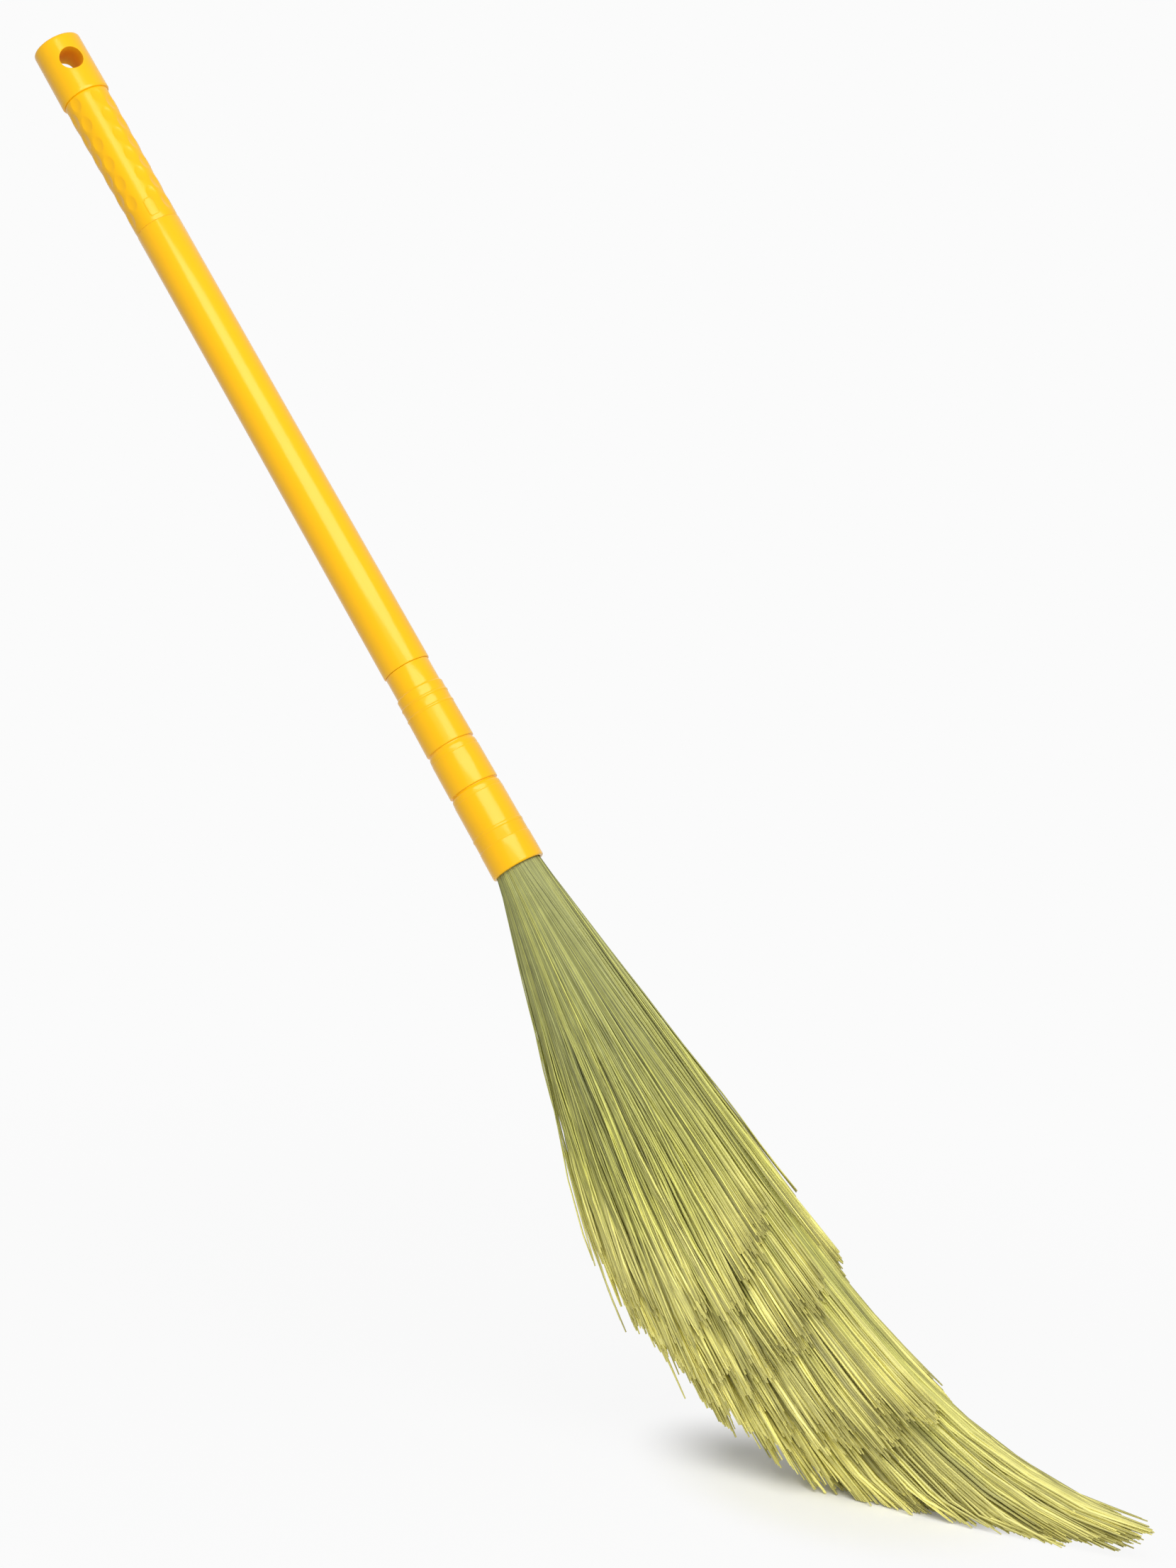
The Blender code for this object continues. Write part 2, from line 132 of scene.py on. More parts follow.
def put_in_broom(name, bm, material, node, sharp_angle=math.radians(32)):
    """Make a bmesh a piece of the broom that stands for its CAD node."""
    mesh = bpy.data.meshes.new(name)
    bm.to_mesh(mesh)
    bm.free()
    mesh.shade_smooth()
    mesh.set_sharp_from_angle(angle=sharp_angle)
    mesh.materials.append(material)
    piece = bpy.data.objects.new(name, mesh)
    bpy.context.scene.collection.objects.link(piece)
    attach(piece, "root")
    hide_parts(node)
    return piece


mottle_scale = 24.0
haze_scale = 80.0
grain_scale = 600.0
haze_swing = 0.05
grain_height = 0.00008
noise_low, noise_high = 0.3, 0.7


def make_moulded_surface():
    """Shader group for moulded plastic: a faint mottle, an uneven haze and a fine grain."""
    group = bpy.data.node_groups.new("moulded_surface", "ShaderNodeTree")
    settings = (("Colour", "Color"), ("Mottle", "Float"), ("Roughness", "Float"), ("Grain", "Float"))
    for label, kind in settings:
        group.interface.new_socket(label, in_out="INPUT", socket_type=f"NodeSocket{kind}")
    for label, kind in (("Colour", "Color"), ("Roughness", "Float"), ("Normal", "Vector")):
        group.interface.new_socket(label, in_out="OUTPUT", socket_type=f"NodeSocket{kind}")
    nodes, links = group.nodes, group.links
    given = nodes.new("NodeGroupInput")
    result = nodes.new("NodeGroupOutput")
    place = nodes.new("ShaderNodeTexCoord")

    clouds = nodes.new("ShaderNodeTexNoise")
    clouds.inputs["Scale"].default_value = mottle_scale
    clouds.inputs["Detail"].default_value = 4.0
    links.new(place.outputs["Object"], clouds.inputs["Vector"])
    darker = nodes.new("ShaderNodeMath")
    darker.operation = "SUBTRACT"
    darker.inputs[0].default_value = 1.0
    links.new(given.outputs["Mottle"], darker.inputs[1])
    brightness = nodes.new("ShaderNodeMapRange")
    brightness.inputs["From Min"].default_value = noise_low
    brightness.inputs["From Max"].default_value = noise_high
    brightness.inputs["To Max"].default_value = 1.0
    links.new(clouds.outputs["Fac"], brightness.inputs["Value"])
    links.new(darker.outputs[0], brightness.inputs["To Min"])
    tint = nodes.new("ShaderNodeHueSaturation")
    links.new(given.outputs["Colour"], tint.inputs["Color"])
    links.new(brightness.outputs["Result"], tint.inputs["Value"])
    links.new(tint.outputs["Color"], result.inputs["Colour"])

    haze = nodes.new("ShaderNodeTexNoise")
    haze.inputs["Scale"].default_value = haze_scale
    haze.inputs["Detail"].default_value = 4.0
    links.new(place.outputs["Object"], haze.inputs["Vector"])
    uneven = nodes.new("ShaderNodeMapRange")
    uneven.inputs["To Min"].default_value = -haze_swing
    uneven.inputs["To Max"].default_value = haze_swing
    links.new(haze.outputs["Fac"], uneven.inputs["Value"])
    hazed = nodes.new("ShaderNodeMath")
    hazed.operation = "ADD"
    links.new(given.outputs["Roughness"], hazed.inputs[0])
    links.new(uneven.outputs["Result"], hazed.inputs[1])
    links.new(hazed.outputs[0], result.inputs["Roughness"])

    grain = nodes.new("ShaderNodeTexNoise")
    grain.inputs["Scale"].default_value = grain_scale
    grain.inputs["Detail"].default_value = 2.0
    links.new(place.outputs["Object"], grain.inputs["Vector"])
    bump = nodes.new("ShaderNodeBump")
    bump.inputs["Distance"].default_value = grain_height
    links.new(given.outputs["Grain"], bump.inputs["Strength"])
    links.new(grain.outputs["Fac"], bump.inputs["Height"])
    links.new(bump.outputs["Normal"], result.inputs["Normal"])
    return group


moulded_surface = make_moulded_surface()
plastic_ior = 1.5
plastic_specular_level = 0.42
plastic_specular_tint = (1.0, 0.92, 0.62, 1.0)


def moulded_plastic(name, colour, roughness, mottle, grain):
    """Coloured moulded plastic with its own roughness, mottle and grain."""
    material = bpy.data.materials.new(name)
    material.use_nodes = True
    nodes, links = material.node_tree.nodes, material.node_tree.links
    shader = nodes["Principled BSDF"]
    shader.inputs["IOR"].default_value = plastic_ior
    shader.inputs["Specular IOR Level"].default_value = plastic_specular_level
    shader.inputs["Specular Tint"].default_value = plastic_specular_tint
    surface = nodes.new("ShaderNodeGroup")
    surface.node_tree = moulded_surface
    surface.inputs["Colour"].default_value = (*colour, 1.0)
    surface.inputs["Roughness"].default_value = roughness
    surface.inputs["Mottle"].default_value = mottle
    surface.inputs["Grain"].default_value = grain
    links.new(surface.outputs["Colour"], shader.inputs["Base Color"])
    links.new(surface.outputs["Roughness"], shader.inputs["Roughness"])
    links.new(surface.outputs["Normal"], shader.inputs["Normal"])
    return material


ferrule_mesh = turn(ferrule_outside + ferrule_inside)
round_steps(ferrule_mesh)
stand_on_axis(ferrule_mesh)
ferrule_plastic = moulded_plastic(
    "ferrule_yellow_plastic", handle_yellow, roughness=0.22, mottle=0.04, grain=0.08
)
put_in_broom("ferrule_sleeve", ferrule_mesh, ferrule_plastic, "ferrule")


# Binding bands: three flat straps of steel, hidden in the ferrule, which hold the bundle of bristles
# together. They are rolled, with a fine brushed grain that runs round them.
band_grain_stretch = (30.0, 30.0, 2500.0)
band_dark_steel = (0.34, 0.35, 0.36, 1.0)
band_light_steel = (0.62, 0.63, 0.64, 1.0)
band_least_roughness, band_most_roughness = 0.25, 0.45
band_steel = bpy.data.materials.new("brushed_band_steel")
band_steel.use_nodes = True
band_nodes, band_links = band_steel.node_tree.nodes, band_steel.node_tree.links
band_shader = band_nodes["Principled BSDF"]
band_shader.inputs["Metallic"].default_value = 1.0
band_place = band_nodes.new("ShaderNodeTexCoord")
band_axis = band_nodes.new("ShaderNodeMapping")
band_axis.inputs["Rotation"].default_value = (0.0, handle_lean, 0.0)
band_axis.inputs["Scale"].default_value = band_grain_stretch
band_links.new(band_place.outputs["Object"], band_axis.inputs["Vector"])
band_grain = band_nodes.new("ShaderNodeTexNoise")
band_grain.inputs["Scale"].default_value = 1.0
band_grain.inputs["Detail"].default_value = 3.0
band_links.new(band_axis.outputs["Vector"], band_grain.inputs["Vector"])
band_tone = band_nodes.new("ShaderNodeValToRGB")
band_tone.color_ramp.elements[0].color = band_dark_steel
band_tone.color_ramp.elements[1].color = band_light_steel
band_links.new(band_grain.outputs["Fac"], band_tone.inputs["Fac"])
band_links.new(band_tone.outputs["Color"], band_shader.inputs["Base Color"])
band_gloss = band_nodes.new("ShaderNodeMapRange")
band_gloss.inputs["To Min"].default_value = band_least_roughness
band_gloss.inputs["To Max"].default_value = band_most_roughness
band_links.new(band_grain.outputs["Fac"], band_gloss.inputs["Value"])
band_links.new(band_gloss.outputs["Result"], band_shader.inputs["Roughness"])
for band_name in ("binding_band_1", "binding_band_2", "binding_band_3"):
    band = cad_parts[band_name]
    band.data.materials.clear()
    band.data.materials.append(band_steel)


# Tube: a thin hollow tube of extruded yellow plastic, a little wider towards the ferrule, pushed over the
# ferrule's spigot at one end and over the grip's at the other. Both its ends are trimmed and eased.
tube_end_round = 0.0002
tube_outline = [
    (0.01450, 0.13600), (0.01485, 0.13635), (0.01460, 0.21000), (0.01435, 0.27000),
    (0.014225, 0.29903), (0.01415, 0.33500), (0.01405, 0.39500), (0.01400, 0.44870),
    (0.01375, 0.44900), (0.01240, 0.44900), (0.01263, 0.29903), (0.01325, 0.13600),
]
tube_mesh = turn(tube_outline)
round_steps(tube_mesh, width=tube_end_round)
stand_on_axis(tube_mesh)
tube_plastic = moulded_plastic("tube_yellow_plastic", handle_yellow, roughness=0.20, mottle=0.03, grain=0.05)
put_in_broom("handle_tube_body", tube_mesh, tube_plastic, "handle_tube")


# Grip: a sleeve of moulded yellow plastic with staggered rows of shallow dimples, a plain neck, and a small
# raised pad low on the front. Its spigots plug into the tube and the cap.
grip_start = 0.4512
grip_end = 0.5422
grip_lower_radius = 0.0139
grip_upper_radius = 0.0145
grip_skin_radius = 0.0138
grip_end_margin = 0.0008
grip_edge_round = 0.00015
grip_edge_angle = math.radians(24)
lower_spigot_radius = 0.01210
grip_neck_radius = 0.01372
upper_spigot_radius = 0.01310
grip_bore_radius = 0.01050
grip_yellow = (0.96, 0.495, 0.002)
grip_sides = 192
grip_ring_step = 0.0009
grip_front_turn = math.radians(-55.6)
dimple_rows = 12
dimple_pitch = 0.00715
lowest_dimple = 0.0077
dimple_half_length = 0.0050
dimple_half_width = math.radians(13.5)
dimple_depth = 0.00070
dimple_fullness = 0.8
dimple_column_turns = (60.0, 120.0, -60.0, -120.0), (30.0, 90.0, 150.0, -30.0, -90.0, -150.0)
pad_half_length = 0.0056
pad_half_turn = math.radians(13.5)
pad_squareness = 6
pad_edge_width = 0.00035
pad_rise = 0.00025
pad_height = grip_start + 0.0065
pad_turn = grip_front_turn + math.radians(11.0)


def grip_radius(height):
    """The grip widens evenly from its lower end to the cap."""
    widening = grip_upper_radius - grip_lower_radius
    return grip_lower_radius + widening * (height - grip_start) / (grip_end - grip_start)


ring_count = round((grip_end - grip_start - 2 * grip_end_margin) / grip_ring_step)
grip_rings = [grip_start + grip_end_margin + grip_ring_step * i for i in range(ring_count)]
grip_outline = [
    (lower_spigot_radius, 0.41900), (lower_spigot_radius, 0.44905),
    (grip_neck_radius, 0.44905), (grip_neck_radius, 0.45110),
]
grip_outline += [(grip_radius(height), height) for height in grip_rings]
grip_outline += [
    (grip_upper_radius, 0.54160), (0.01430, 0.54240), (upper_spigot_radius, 0.54240),
    (upper_spigot_radius, 0.55470), (grip_bore_radius, 0.55470), (grip_bore_radius, 0.41900),
]
grip_mesh = turn(grip_outline, sides=grip_sides)
for row in range(dimple_rows):
    row_height = grip_start + lowest_dimple + row * dimple_pitch
    for column_turn in dimple_column_turns[row % 2]:
        middle = grip_front_turn + math.radians(column_turn)
        for vert in grip_mesh.verts:
            along = (vert.co.z - row_height) / dimple_half_length
            reach = math.hypot(vert.co.x, vert.co.y)
            if abs(along) >= 1.0 or reach < grip_skin_radius:
                continue
            turn_from = math.remainder(math.atan2(vert.co.y, vert.co.x) - middle, 2 * math.pi)
            spread = along**2 + (turn_from / dimple_half_width) ** 2
            if spread < 1.0:
                sunk = 1 - dimple_depth * (1 - spread) ** dimple_fullness / reach
                vert.co.x *= sunk
                vert.co.y *= sunk
pad_faces = []
for face in grip_mesh.faces:
    centre = face.calc_center_median()
    turn_from = math.remainder(math.atan2(centre.y, centre.x) - pad_turn, 2 * math.pi)
    off_length = abs(centre.z - pad_height) / pad_half_length
    off_turn = abs(turn_from) / pad_half_turn
    in_pad = off_length**pad_squareness + off_turn**pad_squareness < 1.0
    if in_pad and math.hypot(centre.x, centre.y) > grip_skin_radius:
        pad_faces.append(face)
bmesh.ops.inset_region(
    grip_mesh,
    faces=pad_faces,
    thickness=pad_edge_width,
    depth=pad_rise,
    use_boundary=True,
    use_even_offset=True,
)
round_steps(grip_mesh, width=grip_edge_round, least_angle=grip_edge_angle)
stand_on_axis(grip_mesh)
grip_plastic = moulded_plastic("grip_yellow_plastic", grip_yellow, roughness=0.25, mottle=0.05, grain=0.12)
put_in_broom("dimpled_grip", grip_mesh, grip_plastic, "grip_sleeve")


# Hanging cap: a deep cap of moulded yellow plastic pushed over the grip's upper spigot. A round hole goes
# right through its crown, a little aslant, so that the broom hangs on a hook. Its rims are rounded.
cap_start = 0.54245
cap_end = 0.58215
cap_bore = 0.0134
cap_seat = 0.5556
cap_rim_radius = 0.0155
cap_taper = 0.0003
cap_wall_start = 0.0008
cap_wall_height = 0.0371
cap_wall_steps = 24
cap_crown_radius = 0.0134
cap_crown_round = 0.0018
cap_crown_steps = 6
cap_skin_radius = 0.0145
axis_gap = 0.00001
crown_weld = 0.00003
hang_hole_radius = 0.00725
hang_hole_sides = 96
hang_hole_overrun = 0.042
hang_hole_round = 0.00045
hang_hole_margin = 0.00005
hang_hole_weld = 0.00002
hang_hole_haze = 0.6
hang_hole_height = 0.5675
hang_hole_turn = math.radians(-36.5)
hang_hole_slope = math.radians(10.0)

# Up the outside and over the crown, then down the inside. The crown and the seat end just off the axis,
# where their points are welded shut.
cap_outline = [
    (0.01470, cap_start), (0.01523, cap_start + 0.00023), (cap_rim_radius, cap_start + cap_wall_start),
]
for step in range(1, cap_wall_steps):
    radius = cap_rim_radius - cap_taper * step / cap_wall_steps
    cap_outline.append((radius, cap_start + cap_wall_start + cap_wall_height * step / cap_wall_steps))
for step in range(cap_crown_steps + 1):
    round_turn = math.radians(90.0 * step / cap_crown_steps)
    radius = cap_crown_radius + cap_crown_round * math.cos(round_turn)
    cap_outline.append((radius, cap_end - cap_crown_round + cap_crown_round * math.sin(round_turn)))
cap_outline += [(0.0090, cap_end), (axis_gap, cap_end)]
cap_outline += [(axis_gap, cap_seat), (cap_bore, cap_seat), (cap_bore, cap_start)]
cap_mesh = turn(cap_outline)
bmesh.ops.remove_doubles(cap_mesh, verts=cap_mesh.verts, dist=crown_weld)
cap_body = bpy.data.meshes.new("cap_body")
cap_mesh.to_mesh(cap_body)
cap_mesh.free()
cap_form = bpy.data.objects.new("cap_form", cap_body)
hole_middle = Vector((0.0, 0.0, hang_hole_height))
hole_tilt = Matrix.Rotation(math.pi / 2 + hang_hole_slope, 4, "Y")
hole_facing = Matrix.Rotation(hang_hole_turn, 4, "Z") @ hole_tilt
hole_mesh = bmesh.new()
bmesh.ops.create_cone(
    hole_mesh,
    cap_ends=True,
    cap_tris=False,
    segments=hang_hole_sides,
    radius1=hang_hole_radius,
    radius2=hang_hole_radius,
    depth=hang_hole_overrun,
    matrix=Matrix.Translation(hole_middle) @ hole_facing,
)
hole_body = bpy.data.meshes.new("hole_body")
hole_mesh.to_mesh(hole_body)
hole_mesh.free()
hole_form = bpy.data.objects.new("hole_form", hole_body)
for form in (cap_form, hole_form):
    bpy.context.scene.collection.objects.link(form)
hole_cut = cap_form.modifiers.new("hang_hole", "BOOLEAN")
hole_cut.operation = "DIFFERENCE"
hole_cut.solver = "EXACT"
hole_cut.object = hole_form
bpy.context.view_layer.update()
cut_cap = bpy.data.meshes.new_from_object(cap_form.evaluated_get(bpy.context.evaluated_depsgraph_get()))
for form in (cap_form, hole_form):
    bpy.data.objects.remove(form, do_unlink=True)
cap_mesh = bmesh.new()
cap_mesh.from_mesh(cut_cap)
bmesh.ops.remove_doubles(cap_mesh, verts=cap_mesh.verts, dist=hang_hole_weld)
hole_rims = [
    edge
    for edge in cap_mesh.edges
    if edge.is_manifold
    and edge.calc_face_angle() > math.radians(40)
    and cap_start + 0.004 < edge.verts[0].co.z < cap_end - 0.003
    and Vector(edge.verts[0].co.xy).length > cap_skin_radius
]
bmesh.ops.bevel(
    cap_mesh,
    geom=hole_rims,
    offset=hang_hole_round,
    offset_type="OFFSET",
    segments=3,
    profile=0.5,
    affect="EDGES",
    clamp_overlap=True,
    material=-1,
)

# The hole's wall is marked, because it is duller than the polished skin and mirrors less of the white room.
hole_line = hole_facing.to_3x3() @ Vector((0.0, 0.0, 1.0))
in_hole = cap_mesh.verts.layers.float.new("in_hole")
for vert in cap_mesh.verts:
    off_line = (vert.co - hole_middle).cross(hole_line).length
    vert[in_hole] = 1.0 if off_line < hang_hole_radius + hang_hole_margin else 0.0
stand_on_axis(cap_mesh)
cap_plastic = moulded_plastic("cap_yellow_plastic", handle_yellow, roughness=0.24, mottle=0.04, grain=0.08)
cap_nodes, cap_links = cap_plastic.node_tree.nodes, cap_plastic.node_tree.links
hole_mask = cap_nodes.new("ShaderNodeAttribute")
hole_mask.attribute_name = "in_hole"
cap_shader = cap_nodes["Principled BSDF"]
hole_haze = cap_nodes.new("ShaderNodeMath")
hole_haze.operation = "MULTIPLY_ADD"
hole_haze.inputs[1].default_value = hang_hole_haze
cap_links.new(hole_mask.outputs["Fac"], hole_haze.inputs[0])
cap_links.new(cap_shader.inputs["Roughness"].links[0].from_socket, hole_haze.inputs[2])
cap_links.new(hole_haze.outputs[0], cap_shader.inputs["Roughness"])
put_in_broom("hanging_cap", cap_mesh, cap_plastic, "hang_cap")


# Bristles: about ten thousand thin filaments of extruded plastic, green at the root and yellow at the tip
# like dried grass, bound in one bundle. The outer layers are cut short, and sweeping has given them a set
# in wavy tufts. Each piece is one slice of the bundle, as its CAD node is.
fan_columns = 6
fan_layers = ("front_outer", "front_inner", "core", "back_inner", "back_outer")
filaments_across = 13
filaments_through = 13
bundle_radius = 0.0133
root_depth = 0.0050
hidden_depth = 0.0120
fan_reach_share = 0.96
heel_spread = math.radians(-17.5)
toe_spread = math.radians(7.0)
heel_bend = math.radians(18.0)
toe_bend = math.radians(56.0)
bend_power = 3.7
gathering = 0.38
toe_length = 0.545
fan_half_thickness = 0.0300
edge_thinning_share = 0.5
spread_delay = 0.0045
path_steps = 24
filament_rings = 15
tier_start_shares = (0.80, 0.56, 0.20, 0.0)
heel_tier_lengths = (0.232, 0.258, 0.260, 0.260)
middle_tier_lengths = (0.294, 0.330, 0.370, 0.418)
toe_tier_lengths = (0.252, 0.304, 0.390, 0.536)
tier_lift = 0.0025
loosening = 0.22
root_thickness = 0.00024
filament_thickness = 0.00052
spread_thickness = 0.00100
tip_thickness = 0.00046
tip_taper = 0.014
filament_twist = 6
wave_length_shares = (0.75, 1.4)
chance = np.random.default_rng(11)


def eased(value, start, stop):
    """Rise from 0 to 1 between two values, with a soft start and end."""
    share = np.clip((value - start) / (stop - start), 0.0, 1.0)
    return share * share * (3 - 2 * share)


def fan_place(distance, u, v):
    """Points of the fan, from the mouth's centre, a distance along the filaments that start at (u, v)."""
    share = (fan_reach_share * u + 1) / 2
    spread = heel_spread + share * (toe_spread - heel_spread)
    bend = heel_bend + share * (toe_bend - heel_bend)
    steps = (np.arange(path_steps) + 0.5) / path_steps
    bent = (distance[..., None] * steps / toe_length) ** bend_power
    gathered = 1 - gathering * eased(distance[..., None] * steps, 0.10, 0.30)
    angles = handle_lean + spread[..., None] * gathered + bend[..., None] * bent
    swept = np.sin(angles).mean(axis=-1) * distance
    fallen = np.cos(angles).mean(axis=-1) * distance
    held_back = spread_delay * (1 - np.exp(-distance / spread_delay)) * np.sin(spread)
    across = bundle_radius * u * np.sqrt(1 - v * v / 2) - held_back
    through = bundle_radius * v * np.sqrt(1 - u * u / 2)
    thickening = fan_half_thickness * distance / toe_length * (1 - edge_thinning_share * u * u)
    x = across * math.cos(handle_lean) - root_depth * math.sin(handle_lean) + swept
    z = across * math.sin(handle_lean) + root_depth * math.cos(handle_lean) - fallen
    return np.stack([x, through + v * thickening, z], axis=-1)


class Tufts:
    """Centres in the bundle that the filaments gather to, each with its own wave, tint and trim."""

    def __init__(self, across, through, jitter):
        u, v = np.meshgrid((np.arange(across) + 0.5) / across, (np.arange(through) + 0.5) / through)
        count = u.size
        self.u = 2 * u.ravel() - 1 + chance.uniform(-jitter, jitter, count) * 2 / across
        self.v = 2 * v.ravel() - 1 + chance.uniform(-jitter, jitter, count) * 2 / through
        self.wave = chance.uniform(0, 2 * math.pi, (count, 2))
        self.wave_length_share = chance.uniform(*wave_length_shares, count)
        self.tint = chance.normal(0, 1, count)
        self.trim = chance.normal(0, 1, count)
        self.scale = (across, through)

    def nearest(self, u, v):
        """The centre that each filament belongs to."""
        off_u = (u[:, None] - self.u[None, :]) * self.scale[0]
        off_v = (v[:, None] - self.v[None, :]) * self.scale[1]
        return np.argmin(off_u**2 + off_v**2, axis=1)


wide_tufts = Tufts(across=20, through=10, jitter=0.38)
fine_tufts = Tufts(across=84, through=38, jitter=0.42)


def tier_length(u, v):
    """Length of the filaments at (u, v): the outer layers are cut short in tiers."""
    tier = np.select([np.abs(v) >= start for start in tier_start_shares], range(len(tier_start_shares)))
    heel = np.choose(tier, heel_tier_lengths)
    middle = np.choose(tier, middle_tier_lengths)
    toe = np.choose(tier, toe_tier_lengths)
    return heel * (u * u - u) / 2 + middle * (1 - u * u) + toe * (u * u + u) / 2


def filament_size(distance, length):
    """Half a filament's thickness: thin in the bundle, coarser where it is swept out, thin at its tip."""
    size = root_thickness + (filament_thickness - root_thickness) * eased(distance, 0.0, 0.12)
    size += (spread_thickness - filament_thickness) * eased(distance, 0.15, 0.42)
    return tip_thickness + (size - tip_thickness) * (1 - eased(distance, length - tip_taper, length))


# How far a filament takes its tier from its wide tuft, and how unevenly the tufts and filaments are cut
tier_pull_across = 0.6
tier_pull_through = 0.2
tier_scatter = 0.015
wide_trim_share = 0.032
outer_trim_drop = 0.014
fine_trim_share = 0.014
tuft_point_share = 0.012
tip_scatter_share = 0.010

# The few filaments that stray from their tuft, and the short ones that stand off the edges of the fan
stray_share = 0.02
stray_turn_spread = 0.020
edge_stray_share = 0.06
edge_stray_lengths = (0.235, 0.285)
heel_stray_turn = -0.04
toe_stray_turn = 0.012

# Size, flatness and length of the waves of the tufts, and the smaller wobble of each filament
wide_wave = (0.0014, 0.25, 0.22)
fine_wave = (0.0007, 0.60, 0.095)
wave_depth_share = 0.7
wobble_size = 0.0002
wobble_lengths = (0.035, 0.075)
toe_edge_opening = 0.024
flow_bend = 0.35

# How far the tips run on over the floor, and how high they lie there on one another
floor_run = 0.008
toe_floor_run = 0.052
heap_height = 0.0030
toe_heap_height = 0.0050
touch_trials = 48


def filament_paths(u, v):
    """Rings of points down each filament, with their distances and sizes, and the tints of its tufts."""
    count = len(u)
    wide = wide_tufts.nearest(u, v)
    fine = fine_tufts.nearest(u, v)
    wide_u, wide_v = wide_tufts.u[wide].clip(-1, 1), wide_tufts.v[wide].clip(-1, 1)
    off_centre = np.hypot((u - wide_u) * wide_tufts.scale[0], (v - wide_v) * wide_tufts.scale[1])
    tier_u = wide_u * tier_pull_across + u * (1 - tier_pull_across)
    tier_v = wide_v * tier_pull_through + v * (1 - tier_pull_through)
    tier_v += chance.normal(0, tier_scatter, count)
    wanted = tier_length(tier_u, tier_v)
    wide_trim = wide_trim_share - outer_trim_drop * eased(np.abs(v), 0.4, 0.6)
    trimmed = wide_trim * wide_tufts.trim[wide] + fine_trim_share * fine_tufts.trim[fine]
    wanted = wanted * (1 + trimmed * (1 - 0.5 * eased(u, 0.65, 0.90)))
    tip_scatter = tip_scatter_share * np.abs(chance.normal(0, 1, count))
    wanted *= 1 - tuft_point_share * off_centre.clip(0, 2) - tip_scatter
    stray = (chance.random(count) < stray_share) & (np.abs(u) < 0.75)
    stray_turn = np.where(stray, chance.normal(0, stray_turn_spread, count), 0.0)
    outermost = (np.abs(u) > 0.93) & (chance.random(count) < edge_stray_share)
    wanted = np.where(outermost, np.minimum(wanted, chance.uniform(*edge_stray_lengths, count)), wanted)
    edge_turn = np.where(u < 0, heel_stray_turn, toe_stray_turn) * chance.uniform(0.5, 1.5, count)
    stray_turn = np.where(outermost, edge_turn, stray_turn)
    wobble_phase = chance.uniform(0, 2 * math.pi, (count, 2))
    wobble_length = chance.uniform(*wobble_lengths, count)
    lay = chance.uniform(0.3, 1.0, count)

    def run(distance):
        """Points at distances down the filaments, drawn in to their tufts, with their waves and strays."""
        length_share = (distance / wanted[:, None]).clip(0, 1)
        to_fine = 0.80 * eased(distance, 0.0, 0.14) - 0.30 * eased(distance, 0.24, 0.44)
        to_wide = 0.05 * eased(distance, 0.05, 0.30) + 0.25 * length_share**4
        to_fine *= 1 - 0.55 * eased(u, 0.50, 0.85)[:, None]
        to_wide *= 1 - 0.8 * eased(u, 0.45, 0.85)[:, None]
        to_wide = np.where(stray[:, None], 0.4 * to_wide, to_wide)
        path_u = u[:, None] + to_fine * (fine_tufts.u[fine] - u)[:, None]
        path_v = v[:, None] + to_fine * (fine_tufts.v[fine] - v)[:, None]
        path_u = (path_u + to_wide * (wide_u[:, None] - path_u)).clip(-1.02, 1.02)
        path_v = (path_v + to_wide * (wide_v[:, None] - path_v)).clip(-1, 1)
        path_v *= 1 + loosening * eased(distance, 0.26, 0.46) * (1 - np.abs(path_v))
        points = fan_place(distance, path_u, path_v)
        loosened = eased(distance, 0.0, 0.20) * (1 - 0.6 * eased(u, 0.4, 0.8)[:, None])
        side = toe_edge_opening * distance * (eased(u, 0.6, 1.0) * eased(np.abs(v), 0.5, 0.8))[:, None]
        depth = np.zeros_like(distance)
        for tufts, owner, wave in ((wide_tufts, wide, wide_wave), (fine_tufts, fine, fine_wave)):
            size, flatness, wave_length = wave
            turn_rate = 2 * math.pi * distance / (wave_length * tufts.wave_length_share[owner][:, None])
            side += size * loosened * np.sin(turn_rate + tufts.wave[owner, 0][:, None])
            depth_size = wave_depth_share * flatness * size * loosened
            depth += depth_size * np.sin(turn_rate * 0.8 + tufts.wave[owner, 1][:, None])
        turn_rate = 2 * math.pi * distance / wobble_length[:, None]
        side += wobble_size * loosened * np.sin(turn_rate + wobble_phase[:, :1])
        depth += wobble_size * loosened * np.sin(turn_rate * 1.1 + wobble_phase[:, 1:])
        side += distance * stray_turn[:, None]
        depth += tier_lift * (v * (1 - 0.8 * eased(u, 0.3, 0.7)))[:, None] * length_share**3
        flow = handle_lean + flow_bend * distance / toe_length
        points[..., 0] += side * np.cos(flow)
        points[..., 2] += side * np.sin(flow)
        points[..., 1] += depth
        return points

